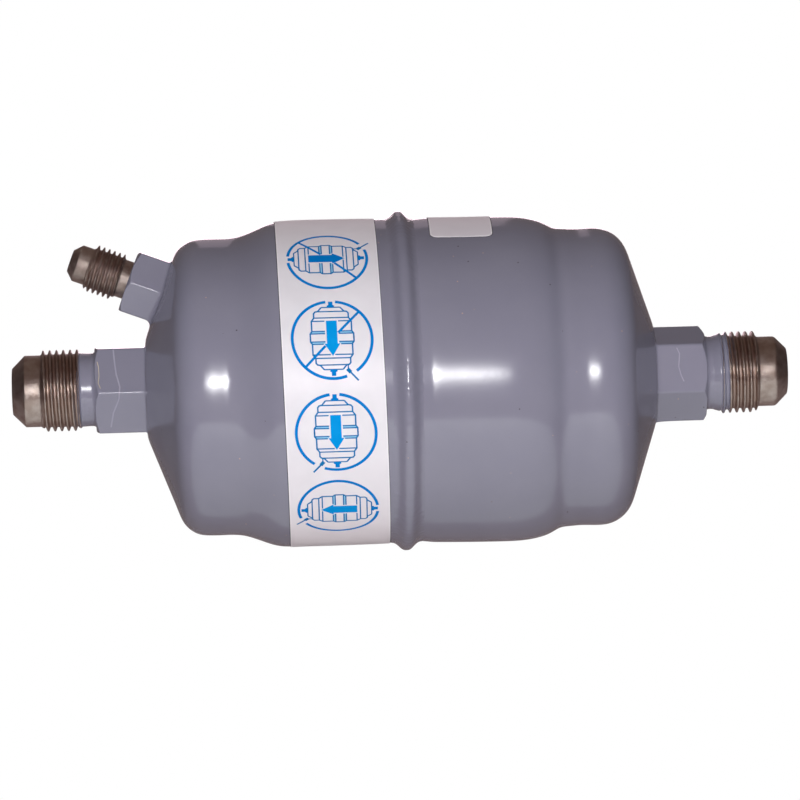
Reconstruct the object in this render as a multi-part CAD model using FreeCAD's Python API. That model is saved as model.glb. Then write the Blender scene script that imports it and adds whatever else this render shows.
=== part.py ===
import FreeCAD, Part

import math
import os

from FreeCAD import Placement, Rotation, Vector

# In-line oil separator for the discharge line of a small refrigeration plant, in millimetres.
# X is the vessel's axis: gas enters at +X and leaves at -X. The origin lies on that axis in
# the plane of the girth seam. The oil return port leans up and out of the outlet end, in the
# XZ plane, so +Z is the side of that port.

# Half shells, deep drawn from steel sheet: a wide middle, a step, a shoulder and a cone.
# The body's length is taken between the two corners where the cones meet the shoulders.
body_length = 102.6
body_radius = 38.0
wall = 2.0
seam_gap = 1.6
step_to_shoulder = 23.8
step_depth = 3.15
step_angle = 29.5
step_bend = 11.5
shoulder_bend = 7.0
cone_angle = 20.0
land_radius = 11.4
land_bend = 3.0

# Girth weld, and the strip behind it that carries the molten root.
bead_half_width = 2.9
bead_flank_height = 1.1
bead_crown_half_width = 1.5
bead_height = 1.8
backing_width = 20.0
backing_thickness = 1.2

# Gas connections: 45 degree flare ends with a 3/4-16 thread, for 1/2 inch tube.
main_hex_flats = 19.3
main_hex_length = 11.8
main_neck_radius = 8.5
main_neck_length = 3.3
main_thread_radius = 9.525
main_thread_length = 9.3
main_nose_radius = 8.3
main_nose_length = 3.85
main_tip_radius = 5.3
main_bore_radius = 4.75
main_spigot_radius = 7.0
main_spigot_inside = 3.0
inlet_hex_turn = 23.8
outlet_hex_turn = -4.9

# Oil return connection: a 45 degree flare end with a 7/16-20 thread, for 1/4 inch tube.
# It stands on the outlet cone, and its inset is taken inwards from the cone's outer corner.
return_inset = 12.25
return_hex_flats = 14.3
return_hex_length = 8.05
return_neck_radius = 4.55
return_neck_length = 2.05
return_thread_radius = 5.556
return_thread_length = 7.8
return_nose_radius = 4.4
return_nose_length = 2.75
return_tip_radius = 2.7
return_bore_radius = 2.3
return_spigot_radius = 4.2
return_spigot_inside = 2.5
return_hex_turn = -2.6

# Details that both sizes of connection share.
hex_chamfer_angle = 33.0
hex_chamfer_inset = 0.35
thread_chamfer = 0.6
fit_clearance = 0.05

# Perforated plates that sit in the steps of the shells and hold the mesh between them.
plate_thickness = 1.0
plate_clearance = 0.15
plate_bend = 3.0
plate_skirt = 7.0
plate_hole_radius = 3.0
plate_hole_pitch = 9.4
plate_hole_rings = 3

# Knitted wire pads and the hoops that keep them apart.
pad_count = 4
pad_clearance = 0.25
spacer_width = 5.0
spacer_thickness = 1.0

# Slotted cup on the inlet's spigot, which throws the gas outwards.
diffuser_depth = 17.0
diffuser_thickness = 1.0
diffuser_bend = 2.5
diffuser_slots = 6
diffuser_slot_width = 3.6
diffuser_slot_length = 9.0

# Standpipe in the outlet, above the oil, and the slotted cap that keeps drips out of it.
standpipe_radius = 5.9
standpipe_wall = 0.8
standpipe_socket = 4.5
standpipe_reach = 12.0
cap_depth = 13.0
cap_thickness = 0.8
cap_bend = 2.0
cap_overlap = 5.0
cap_slots = 4
cap_slot_width = 4.0

# Strainer over the oil return: a slotted cage with a gauze thimble in it.
cage_depth = 13.0
cage_thickness = 0.7
cage_bend = 1.2
cage_slots = 6
cage_slot_width = 2.2
cage_slot_length = 7.0
cage_stand_off = 0.3
gauze_thickness = 0.3

# Brass jet that meters the oil back to the compressor.
jet_radius = 2.9
jet_length = 4.0
jet_hole_radius = 0.5
jet_slot_width = 0.8
jet_slot_depth = 1.0

# Film label wound round the outlet half, a little askew, and the small sticker at the back.
label_width = 23.1
label_centre = -16.4
label_skew = 1.28
film_thickness = 0.1
film_adhesive = 0.05
sticker_width = 14.4
sticker_length = 29.0
sticker_corner = 1.6
sticker_centre = 14.2
sticker_turn = 81.8

# Sizes that follow from the ones above.
shoulder_at = body_length / 2
step_start = shoulder_at - step_to_shoulder
reduced_radius = body_radius - step_depth
inner_radius = body_radius - wall
pad_edge_round = plate_bend - plate_thickness + pad_clearance
land_at = shoulder_at + (reduced_radius - land_radius) * math.tan(math.radians(cone_angle))
land_inside = land_at - wall

AXIS = Vector(1, 0, 0)
ORIGIN = Vector(0, 0, 0)


def profile_point(along, radius):
    """Point of a section drawn in the XZ plane."""
    return Vector(along, 0, radius)


def rounded_edges(corners, bends):
    """Straight runs through the corners, with each inner corner turned by its bend radius."""
    points = [profile_point(*corner) for corner in corners]
    edges = []
    start = points[0]
    for before, corner, after, bend in zip(points, points[1:], points[2:], bends):
        back = (before - corner).normalize()
        ahead = (after - corner).normalize()
        half_turn = (math.pi - back.getAngle(ahead)) / 2
        reach = bend * math.tan(half_turn)
        arc_start = corner + back * reach
        arc_end = corner + ahead * reach
        inward = (back + ahead).normalize()
        arc_middle = corner + inward * (bend / math.cos(half_turn) - bend)
        edges.append(Part.makeLine(start, arc_start))
        edges.append(Part.Arc(arc_start, arc_middle, arc_end).toShape())
        start = arc_end
    edges.append(Part.makeLine(start, points[-1]))
    return edges


def revolved(edges):
    """Solid of revolution about the X axis of the closed section that the edges bound."""
    return Part.Face(Part.Wire(edges)).revolve(ORIGIN, AXIS, 360)


def turned(corners):
    """Solid of revolution of a section with sharp corners."""
    points = [profile_point(*corner) for corner in corners]
    return revolved(Part.makePolygon(points + points[:1]).Edges)


def formed_sheet(corners, bends, thickness):
    """Sheet of even thickness pressed to a revolved outline, which is its outer skin."""
    outline = Part.Wire(rounded_edges(corners, bends))
    section = outline.makeOffset2D(-thickness, join=2, fill=True, openResult=True)
    return section.revolve(ORIGIN, AXIS, 360)


def shell_outline():
    """Corners and bends of a half shell's outer skin, from the seam to the fitting's hole."""
    slope = math.radians(step_angle)
    slope_length = step_depth / math.sin(slope)
    bend = min(step_bend, 0.49 * slope_length / math.tan(slope / 2))
    slope_start = step_start + bend * math.tan(slope / 2)
    slope_end = slope_start + step_depth / math.tan(slope)
    corners = [
        (seam_gap / 2, body_radius),
        (slope_start, body_radius),
        (slope_end, reduced_radius),
        (shoulder_at, reduced_radius),
        (land_at, land_radius),
        (land_at, main_spigot_radius + fit_clearance),
    ]
    return corners, [bend, bend, shoulder_bend, land_bend]


def to_outlet_end(shape):
    """Half turn about Z, which brings a piece modelled at the inlet end to the outlet end."""
    return shape.rotated(ORIGIN, Vector(0, 0, 1), 180)


def return_axis_placement(depth=0.0):
    """Frame on the outlet cone: local X points out of the oil return port, square to the cone."""
    along = shoulder_at + return_inset * math.tan(math.radians(cone_angle))
    tilt = Rotation(Vector(0, 1, 0), 180 + cone_angle)
    outwards = tilt.multVec(AXIS)
    foot = Vector(-along, 0, reduced_radius - return_inset)
    return Placement(foot - outwards * depth, tilt)


def placed(shape, placement):
    """Copy of a shape moved from the local frame to the given one."""
    moved = shape.copy()
    moved.Placement = placement.multiply(moved.Placement)
    return moved


def vessel_envelope():
    """Solid bounded by the outlet shell's outer skin, without its holes."""
    corners, bends = shell_outline()
    closed_corners = corners[:-1] + [(land_at, 0)]
    edges = rounded_edges(closed_corners, bends)
    start = edges[0].firstVertex().Point
    end = edges[-1].lastVertex().Point
    foot = profile_point(start.x, 0)
    edges.append(Part.makeLine(end, foot))
    edges.append(Part.makeLine(foot, start))
    return to_outlet_end(revolved(edges))


def half_shell():
    """Deep drawn half shell at the inlet end."""
    corners, bends = shell_outline()
    return formed_sheet(corners, bends, wall)


def outlet_half_shell():
    """Half shell at the outlet end, with the second hole for the oil return port."""
    hole_radius = return_spigot_radius + fit_clearance
    drill = Part.makeCylinder(hole_radius, 4 * wall, Vector(-2 * wall, 0, 0), AXIS)
    return to_outlet_end(half_shell()).cut(placed(drill, return_axis_placement()))


def girth_bead():
    """Weld that fills the gap between the shells and stands proud as a narrow bead."""
    crown_foot = body_radius + bead_flank_height
    left = profile_point(-bead_crown_half_width, crown_foot)
    top = profile_point(0, body_radius + bead_height)
    right = profile_point(bead_crown_half_width, crown_foot)
    rest = [
        right,
        profile_point(bead_half_width, body_radius),
        profile_point(seam_gap / 2, body_radius),
        profile_point(seam_gap / 2, inner_radius),
        profile_point(-seam_gap / 2, inner_radius),
        profile_point(-seam_gap / 2, body_radius),
        profile_point(-bead_half_width, body_radius),
        left,
    ]
    crown = Part.Arc(left, top, right).toShape()
    return revolved([crown] + Part.makePolygon(rest).Edges)


def hoop(centre, width, outer_radius, thickness):
    """Flat strip bent to a closed ring about the axis."""
    start = Vector(centre - width / 2, 0, 0)
    outside = Part.makeCylinder(outer_radius, width, start, AXIS)
    return outside.cut(Part.makeCylinder(outer_radius - thickness, width, start, AXIS))


def hexagon_bar(flats, length, turn, foot=0.0):
    """Hexagon bar along X whose outer end is chamfered by a shallow cone."""
    corner_radius = flats / math.sqrt(3)
    angles = [math.radians(180 + turn + 60 * step) for step in range(6)]
    ring = [Vector(-foot, corner_radius * math.cos(a), corner_radius * math.sin(a)) for a in angles]
    bar = Part.Face(Part.makePolygon(ring + ring[:1])).extrude(AXIS * (length + foot))
    face_radius = flats / 2 - hex_chamfer_inset
    taper = (corner_radius - face_radius) * math.tan(math.radians(hex_chamfer_angle))
    blank = turned([
        (-foot, 0),
        (-foot, corner_radius),
        (length - taper, corner_radius),
        (length, face_radius),
        (length, 0),
    ])
    return bar.common(blank)


def flare_stem(spigot_radius, spigot_length, hex_length, neck_radius, neck_length,
               thread_radius, thread_length, nose_radius, nose_length, tip_radius):
    """Turned outline of a flare connection: spigot, neck, thread, nose and 45 degree seat."""
    thread_start = hex_length + neck_length
    thread_end = thread_start + thread_length
    nose_end = thread_end + nose_length
    tip = nose_end + nose_radius - tip_radius
    return turned([
        (-spigot_length, 0),
        (-spigot_length, spigot_radius),
        (hex_length / 2, spigot_radius),
        (hex_length / 2, neck_radius),
        (thread_start, neck_radius),
        (thread_start + thread_chamfer, thread_radius),
        (thread_end - thread_chamfer, thread_radius),
        (thread_end, nose_radius),
        (nose_end, nose_radius),
        (tip, tip_radius),
        (tip, 0),
    ])


def bored(solid, radius, start, end):
    """Solid with a round hole along its own X axis."""
    return solid.cut(Part.makeCylinder(radius, end - start, Vector(start, 0, 0), AXIS))


def main_fitting(turn):
    """Gas connection with its hexagon's foot at the local origin."""
    spigot_length = wall + main_spigot_inside
    stem = flare_stem(
        main_spigot_radius, spigot_length, main_hex_length, main_neck_radius,
        main_neck_length, main_thread_radius, main_thread_length, main_nose_radius,
        main_nose_length, main_tip_radius)
    solid = stem.fuse(hexagon_bar(main_hex_flats, main_hex_length, turn)).removeSplitter()
    return bored(solid, main_bore_radius, -spigot_length, stem.BoundBox.XMax)


def inlet_connection():
    """Inlet fitting, welded to the land of the inlet shell."""
    return main_fitting(inlet_hex_turn).translated(Vector(land_at, 0, 0))


def outlet_connection():
    """Outlet fitting, whose spigot is counterbored for the standpipe."""
    spigot_end = -wall - main_spigot_inside
    socket_radius = standpipe_radius + fit_clearance
    solid = bored(main_fitting(outlet_hex_turn), socket_radius, spigot_end,
                  spigot_end + standpipe_socket)
    return to_outlet_end(solid.translated(Vector(land_at, 0, 0)))


def return_connection():
    """Oil return fitting, whose hexagon is fitted to the cone that it stands on."""
    spigot_length = wall + return_spigot_inside
    stem = flare_stem(
        return_spigot_radius, spigot_length, return_hex_length, return_neck_radius,
        return_neck_length, return_thread_radius, return_thread_length, return_nose_radius,
        return_nose_length, return_tip_radius)
    frame = return_axis_placement()
    bar = hexagon_bar(return_hex_flats, return_hex_length, return_hex_turn, foot=wall)
    saddle = placed(bar, frame).cut(vessel_envelope())
    solid = placed(stem, frame).fuse(saddle).removeSplitter()
    bore = Part.makeCylinder(return_bore_radius, 2 * stem.BoundBox.XLength,
                             Vector(-stem.BoundBox.XLength, 0, 0), AXIS)
    socket = Part.makeCylinder(jet_radius + fit_clearance, jet_length,
                               Vector(-spigot_length, 0, 0), AXIS)
    return solid.cut(placed(bore.fuse(socket), frame))


def plate_face():
    """Distance from the seam at which a plate's outer face lies when its rim seats in the step."""
    bend_inside = shell_outline()[1][0] - wall
    play = bend_inside - plate_bend
    rim_centre = step_start + math.sqrt(2 * play * plate_clearance - plate_clearance ** 2)
    return rim_centre + plate_bend


def hole_centres(pitch, rings):
    """Centres of a honeycomb of holes about the axis, as (y, z) pairs."""
    centres = []
    for column in range(-rings, rings + 1):
        for row in range(-rings, rings + 1):
            if abs(column + row) <= rings:
                y = pitch * (column + row / 2)
                z = pitch * row * math.sqrt(3) / 2
                centres.append((y, z))
    return centres


def perforated_plate():
    """Dished plate with a skirt, which stands in the step of the inlet shell."""
    face = plate_face()
    rim = inner_radius - plate_clearance
    corners = [(face - plate_skirt, rim), (face, rim), (face, 0)]
    plate = formed_sheet(corners, [plate_bend], plate_thickness)
    centres = hole_centres(plate_hole_pitch, plate_hole_rings)
    start = face - 2 * plate_thickness
    drills = [
        Part.makeCylinder(plate_hole_radius, 3 * plate_thickness, Vector(start, y, z), AXIS)
        for y, z in centres
    ]
    return plate.cut(Part.makeCompound(drills))


def stack_radius():
    """Radius that slides through the backing ring and into the plates' skirts."""
    skirt_inside = inner_radius - plate_clearance - plate_thickness
    ring_inside = inner_radius - backing_thickness
    return min(skirt_inside, ring_inside) - pad_clearance


def mesh_stack():
    """Wire pads and spacer hoops, packed face to face from the inlet plate to the outlet plate."""
    half_length = plate_face() - plate_thickness
    spacers = pad_count - 1
    pad_thickness = (2 * half_length - spacers * spacer_width) / pad_count
    radius = stack_radius()
    pieces = {}
    position = half_length
    for number in range(1, pad_count + 1):
        far_side = position - pad_thickness
        corners = [(position, 0), (position, radius), (far_side, radius), (far_side, 0)]
        edges = rounded_edges(corners, [pad_edge_round, pad_edge_round])
        edges.append(Part.makeLine(profile_point(far_side, 0), profile_point(position, 0)))
        pieces[f"mesh_pad_{number}"] = revolved(edges)
        if number < pad_count:
            centre = far_side - spacer_width / 2
            pieces[f"spacer_ring_{number}"] = hoop(
                centre, spacer_width, radius - pad_edge_round, spacer_thickness)
        position = far_side - spacer_width
    return pieces


def slot_cutter(start, end, width, reach):
    """Prism with rounded ends that cuts a slot along X through one side of a tube."""
    half = width / 2
    left = start + half
    right = end - half
    edges = [
        Part.makeLine(Vector(left, -half, 0), Vector(right, -half, 0)),
        Part.Arc(Vector(right, -half, 0), Vector(end, 0, 0), Vector(right, half, 0)).toShape(),
        Part.makeLine(Vector(right, half, 0), Vector(left, half, 0)),
        Part.Arc(Vector(left, half, 0), Vector(start, 0, 0), Vector(left, -half, 0)).toShape(),
    ]
    return Part.Face(Part.Wire(edges)).extrude(Vector(0, 0, reach))


def slotted_cup(bore_radius, thickness, depth, bend, slots, slot_width, slot_length):
    """Drawn cup, open at the local origin, with a ring of slots just below its closed end."""
    radius = bore_radius + thickness
    cup = formed_sheet([(0, radius), (depth, radius), (depth, 0)], [bend], thickness)
    slot_end = depth - bend - thickness / 2
    cutter = slot_cutter(slot_end - slot_length, slot_end, slot_width, 2 * radius)
    ring = [cutter.rotated(ORIGIN, AXIS, 360 * number / slots) for number in range(slots)]
    return cup.cut(Part.makeCompound(ring))


def inlet_diffuser():
    """Slotted cup pushed over the inlet's spigot, up to the shell."""
    cup = slotted_cup(
        main_spigot_radius + fit_clearance, diffuser_thickness, diffuser_depth,
        diffuser_bend, diffuser_slots, diffuser_slot_width, diffuser_slot_length)
    return to_outlet_end(cup).translated(Vector(land_inside, 0, 0))


def standpipe_mouth():
    """Distance of the standpipe's open end from the seam."""
    return land_inside - main_spigot_inside - standpipe_reach


def outlet_standpipe():
    """Pipe that carries clean gas from the quiet middle of the vessel to the outlet."""
    foot = land_inside - main_spigot_inside + standpipe_socket
    length = foot - standpipe_mouth()
    centre = -(foot + standpipe_mouth()) / 2
    return hoop(centre, length, standpipe_radius, standpipe_wall)


def standpipe_cap():
    """Slotted cap pushed over the standpipe's mouth."""
    slot_length = cap_depth - cap_overlap - cap_bend - cap_thickness
    cup = slotted_cup(
        standpipe_radius + fit_clearance, cap_thickness, cap_depth, cap_bend,
        cap_slots, cap_slot_width, slot_length)
    return cup.translated(Vector(-standpipe_mouth() - cap_overlap, 0, 0))


def strainer_cage():
    """Slotted cage pushed over the oil return's spigot."""
    bore = return_spigot_radius + fit_clearance + gauze_thickness
    cup = slotted_cup(
        bore, cage_thickness, cage_depth, cage_bend, cage_slots, cage_slot_width,
        cage_slot_length)
    return placed(to_outlet_end(cup), return_axis_placement(wall + cage_stand_off))


def strainer_gauze():
    """Fine gauze thimble that lines the cage and grips the spigot."""
    radius = return_spigot_radius + fit_clearance + gauze_thickness
    depth = cage_depth - cage_thickness
    bend = cage_bend - cage_thickness / 2
    cup = formed_sheet([(0, radius), (depth, radius), (depth, 0)], [bend], gauze_thickness)
    return placed(to_outlet_end(cup), return_axis_placement(wall + cage_stand_off))


def return_jet():
    """Brass plug with a fine hole, held in the inner end of the oil return's bore."""
    plug = Part.makeCylinder(jet_radius, jet_length, ORIGIN, AXIS)
    plug = bored(plug, jet_hole_radius, 0, jet_length)
    slot = Part.makeBox(jet_slot_depth, jet_slot_width, 2 * jet_radius,
                        Vector(0, -jet_slot_width / 2, -jet_radius))
    return placed(plug.cut(slot), return_axis_placement(wall + return_spigot_inside))


def film_sleeve(start, end):
    """Film on the wide part of the body, clear of it by its layer of adhesive."""
    outside = body_radius + film_adhesive + film_thickness
    return hoop((start + end) / 2, end - start, outside, film_thickness)


def mounting_label():
    """Film label round the body, cut by two planes that lean by the skew of its winding."""
    sleeve = film_sleeve(label_centre - label_width, label_centre + label_width)
    reach = 2 * body_radius
    block = Part.makeBox(label_width, 2 * reach, 2 * reach,
                         Vector(label_centre - label_width / 2, -reach, -reach))
    block.rotate(Vector(label_centre, 0, 0), Vector(0, 1, 0), -label_skew)
    return sleeve.common(block)


def data_sticker():
    """Small rounded sticker that wraps over the top of the inlet half."""
    sleeve = film_sleeve(sticker_centre - sticker_width, sticker_centre + sticker_width)
    blank = Part.makeBox(sticker_width, sticker_length, 2 * body_radius,
                         Vector(sticker_centre - sticker_width / 2, -sticker_length / 2, 0))
    upright = [edge for edge in blank.Edges if abs(edge.tangentAt(edge.FirstParameter).z) > 0.5]
    blank = blank.makeFillet(sticker_corner, upright)
    blank.rotate(ORIGIN, AXIS, 90 - sticker_turn)
    return sleeve.common(blank)


def build_nodes():
    """Every piece of the separator under its own name."""
    nodes = {
        "inlet_shell": half_shell(),
        "outlet_shell": outlet_half_shell(),
        "girth_weld": girth_bead(),
        "backing_ring": hoop(0, backing_width, inner_radius, backing_thickness),
        "inlet_fitting": inlet_connection(),
        "outlet_fitting": outlet_connection(),
        "oil_return_fitting": return_connection(),
        "inlet_diffuser": inlet_diffuser(),
        "inlet_plate": perforated_plate(),
        "outlet_plate": to_outlet_end(perforated_plate()),
        "outlet_standpipe": outlet_standpipe(),
        "standpipe_cap": standpipe_cap(),
        "strainer_cage": strainer_cage(),
        "strainer_gauze": strainer_gauze(),
        "return_jet": return_jet(),
        "mounting_label": mounting_label(),
        "data_sticker": data_sticker(),
    }
    nodes.update(mesh_stack())
    return nodes


os.makedirs("parts", exist_ok=True)
for name, shape in build_nodes().items():
    solids = shape.Solids
    if not shape.isValid() or len(solids) != 1:
        raise SystemExit(f"{name} is not one valid solid")
    solids[0].exportStep(f"parts/{name}.step")
    print(name, round(solids[0].Volume, 1))
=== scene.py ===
import math
from functools import cached_property

import bmesh
import bpy
import numpy as np
from mathutils import Matrix, Vector


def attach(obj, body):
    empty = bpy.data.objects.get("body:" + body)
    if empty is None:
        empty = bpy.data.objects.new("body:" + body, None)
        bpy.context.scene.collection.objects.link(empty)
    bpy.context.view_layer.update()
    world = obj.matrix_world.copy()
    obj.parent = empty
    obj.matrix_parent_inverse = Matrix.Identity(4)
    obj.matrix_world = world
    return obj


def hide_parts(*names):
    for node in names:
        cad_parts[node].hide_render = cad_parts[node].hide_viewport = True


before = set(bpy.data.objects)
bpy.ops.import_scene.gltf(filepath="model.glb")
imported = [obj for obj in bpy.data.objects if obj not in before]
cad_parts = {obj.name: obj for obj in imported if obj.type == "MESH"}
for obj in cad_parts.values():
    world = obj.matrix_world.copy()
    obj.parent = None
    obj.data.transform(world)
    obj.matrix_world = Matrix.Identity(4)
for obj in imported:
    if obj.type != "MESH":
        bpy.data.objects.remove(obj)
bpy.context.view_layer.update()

# Looks of the oil separator. Lengths of the part are written in millimetres, as in its source, and
# turned into Blender's metres by MM. The stage and the materials' patterns are in metres.
# X is the vessel's axis, the camera looks along +Y, Z is up.
MM = 0.001

# Half shells. Pressing and welding left each with a form of its own.
body_radius = 38.0
wall = 2.0
seam_gap = 1.6
step_angle = 29.5
step_bend = 11.5
land_radius = 11.4
land_bend = 3.0
outlet_form = {"shoulder_at": 51.29, "step_to_shoulder": 24.0, "step_depth": 3.39,
               "shoulder_bend": 6.4, "cone_angle": 20.3}
inlet_form = {"shoulder_at": 51.52, "step_to_shoulder": 22.82, "step_depth": 3.12,
              "shoulder_bend": 7.88, "cone_angle": 18.42}
shell_segments = 256

# Swells and hollows of the outlines: (distance from the seam, spread, height, power).
outlet_marks = [(0.0, 5.0, -0.2, 2), (20.9, 10.3, 0.106, 2), (35.1, 2.6, 0.281, 2),
                (40.5, 5.9, 0.204, 2), (41.0, 2.3, -0.11, 2)]
inlet_marks = [(0.0, 5.2, -0.34, 4), (24.0, 12.0, 0.08, 2), (31.4, 3.9, -0.404, 2),
               (36.2, 2.0, -0.361, 2), (41.3, 2.4, -0.11, 2)]

# Girth weld.
bead_height = 1.95
bead_spread = 2.05
bead_power = 2.6
bead_reach = 3.6
bead_sunk = 0.03
bead_foot = 37.2
bead_root = 36.0
bead_rise = 0.26
bead_lean = 0.013

# Welding drew the shells up beside the seam, with a fade on each side of it, and pushed in the
# outlet cone's lower side. The push grows along the axis and with the depth under it.
seam_lift = 0.32
lift_from = -36.0
lift_length = 14.0
lift_fade = 12.0
cone_push = 0.28
push_from = -46.0
push_length = 5.0
push_below = 11.0
push_depth = 16.0

# Connections, with distances from the hexagon's foot. The threads are 3/4-16 and 7/16-20 UNF.
gas_size = {"spigot": 5.0, "spigot_radius": 7.0, "hex_length": 11.8, "fillet": 0.3, "neck": 8.45,
            "radius": 9.525, "depth": 1.0, "pitch": 1.5875, "nose_end": 28.25, "bore": 4.75}
outlet_connection = dict(
    gas_size, rise=0.2, flats=19.75, turn=-4.9, edge_round=0.65, face_radius=9.9, chamfer_drop=0.0,
    sag=0.0, pooled=0.0, start=15.1, end=24.6, stem_turn=-113.0, nose=8.38, nose_round=0.3, tip=5.4,
    paint_gathered=0.1, paint_end=16.5, worn=0.6)
inlet_connection = dict(
    gas_size, rise=0.1, flats=19.5, turn=22.8, edge_round=0.65, face_radius=9.75, chamfer_drop=0.4,
    sag=0.2, pooled=0.0, start=15.0, end=24.2, stem_turn=58.0, nose=8.15, nose_round=1.2, tip=5.4,
    paint_gathered=0.5, paint_end=18.2, worn=1.8)
return_connection = {
    "spigot": 4.5, "spigot_radius": 4.2, "hex_length": 8.05, "fillet": 0.8, "neck": 4.5,
    "radius": 5.58, "depth": 0.9, "pitch": 1.27, "nose_end": 20.65, "bore": 2.3, "flats": 14.4,
    "turn": -2.6, "edge_round": 0.45, "face_radius": 7.0, "chamfer_drop": -0.3, "sag": 0.0,
    "pooled": 1.2, "start": 10.1, "end": 17.95, "stem_turn": -72.0, "nose": 4.4, "nose_round": 0.3,
    "tip": 2.6}

# The oil return's foot on the outlet cone, and how far the return leans up from square.
return_foot_along = 55.76
return_foot_height = 22.6
return_lean = 20.75

# Shared detail of the hexagons.
hex_chamfer_angle = 31.0

# Films.
label_width = 23.1
label_centre = -16.4
label_skew = 1.28
label_segments = 512
film_thickness = 0.1
film_adhesive = 0.05
ink_thickness = 0.015
sticker_width = 14.4
sticker_length = 29.0
sticker_corner = 1.6
sticker_centre = 14.2
sticker_turn = 81.8
pictogram_turns = [48.3, 15.3, -17.5, -49.75]
pictogram_shifts = [-0.05, 0.0, -0.15, -0.35]

# Edges that bend more than this many degrees stay crisp.
crisp_above = 40.0

# Stage, in metres.
floor_height = -0.30
floor_reach = 2.5
table_centre = -0.22
table_radius = 0.37
rim_points = 96
room_radius = 2.7

# Camera, in metres and degrees, fitted to the photograph.
camera_distance = 1.28
camera_yaw = 1.65
camera_roll = 1.62
camera_left = 0.0004
camera_down = 0.00426
lens_length = 245.6


# Helpers

def linear(code):
    """sRGB hex value as a linear colour with full alpha."""
    channels = [int(code[place:place + 2], 16) / 255 for place in (1, 3, 5)]
    return [c / 12.92 if c <= 0.04045 else ((c + 0.055) / 1.055) ** 2.4 for c in channels] + [1.0]


class Nodes:
    """A node tree being built. A node's kind is given without its family's prefix."""

    def __init__(self, tree, family="ShaderNode"):
        self.tree = tree
        self.family = family
        tree.nodes.clear()

    def node(self, kind, inputs=None, **settings):
        """Adds a node, makes its settings, and fills or links its inputs by name or number."""
        node = self.tree.nodes.new(kind if "Node" in kind else self.family + kind)
        for name, value in settings.items():
            setattr(node, name, value)
        for key, value in (inputs or {}).items():
            if isinstance(value, bpy.types.NodeSocket):
                self.tree.links.new(value, node.inputs[key])
            else:
                node.inputs[key].default_value = value
        return node

    def put(self, kind, inputs=None, **settings):
        """Adds a node and gives its first output."""
        return self.node(kind, inputs, **settings).outputs[0]

    def reckon(self, operation, *values):
        """Arithmetic on numbers and outputs."""
        return self.put("ShaderNodeMath", dict(enumerate(values)), operation=operation)

    def carried(self, value, source, target, **settings):
        """Value carried from one range to another, and held at its ends."""
        return self.put("ShaderNodeMapRange", {
            "Value": value, "From Min": source[0], "From Max": source[1],
            "To Min": target[0], "To Max": target[1]}, **settings)

    def parts(self, vector):
        """X, Y and Z of a vector."""
        return self.node("ShaderNodeSeparateXYZ", {0: vector}).outputs

    def vector(self, x, y, z):
        """Vector with these parts."""
        return self.put("ShaderNodeCombineXYZ", {0: x, 1: y, 2: z})

    def ring(self, turn):
        """Y and Z of a turn about X, which starts at the camera's side and goes up."""
        return self.reckon("MULTIPLY", self.reckon("COSINE", turn), -1.0), self.reckon("SINE", turn)

    def around(self, along, ring, radius):
        """Place at this distance from the X axis."""
        return self.vector(along, *(self.reckon("MULTIPLY", side, radius) for side in ring))


def node_tree(name, wanted):
    """Geometry Nodes tree with named inputs. Gives its nodes and what its group input gives."""
    tree = bpy.data.node_groups.new(name, "GeometryNodeTree")
    for label, kind in {"Geometry": "Geometry", **wanted}.items():
        tree.interface.new_socket(label, in_out="INPUT", socket_type="NodeSocket" + kind)
    tree.interface.new_socket("Geometry", in_out="OUTPUT", socket_type="NodeSocketGeometry")
    new = Nodes(tree, "GeometryNode")
    return new, new.node("NodeGroupInput").outputs


def finish_tree(new, wants, geometry):
    """Ends a tree: merged seams, smooth faces with crisp edges, real geometry and its material."""
    merged = new.put("MergeByDistance", {"Geometry": geometry, "Distance": 1e-6})
    smooth = new.put("SetShadeSmooth", {"Geometry": merged})
    bend = new.node("InputMeshEdgeAngle").outputs["Unsigned Angle"]
    steep = new.reckon("GREATER_THAN", bend, math.radians(crisp_above))
    crisp = new.put("SetShadeSmooth", {
        "Geometry": smooth, "Selection": steep, "Shade Smooth": False}, domain="EDGE")
    real = new.put("RealizeInstances", {"Geometry": crisp})
    dressed = new.put("SetMaterial", {"Geometry": real, "Material": wants["Finish"]})
    new.node("NodeGroupOutput", {"Geometry": dressed})
    return new.tree


def mesh_object(name, vertices, edges, faces):
    """Object at the origin with a mesh given in metres."""
    mesh = bpy.data.meshes.new(name)
    mesh.from_pydata(vertices, edges, faces)
    piece = bpy.data.objects.new(name, mesh)
    bpy.context.scene.collection.objects.link(piece)
    return piece


def run_tree(piece, tree, values):
    """Runs a tree on a piece with these input values and leaves a plain closed mesh."""
    modifier = piece.modifiers.new(tree.name, "NODES")
    modifier.node_group = tree
    sockets = {item.name: item.identifier for item in tree.interface.items_tree
               if item.in_out == "INPUT"}
    for name, value in values.items():
        modifier[sockets[name]] = value
    graph = bpy.context.evaluated_depsgraph_get()
    made = bpy.data.meshes.new_from_object(piece.evaluated_get(graph), depsgraph=graph)
    piece.modifiers.remove(modifier)
    piece.data = made
    face_outwards(piece)
    return piece


def face_outwards(piece):
    """Merges what still lies double and turns every face outwards."""
    body = bmesh.new()
    body.from_mesh(piece.data)
    bmesh.ops.remove_doubles(body, verts=body.verts, dist=1e-7)
    bmesh.ops.recalc_face_normals(body, faces=body.faces)
    body.to_mesh(piece.data)
    body.free()


def settle(piece, slot, *nodes, finish=None):
    """Makes a piece ride on the separator, in the place of these CAD nodes."""
    if finish is not None:
        piece.data.materials.clear()
        piece.data.materials.append(finish)
    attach(piece, "root")
    if nodes:
        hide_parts(*nodes)
    return piece


# Outlines

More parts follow.
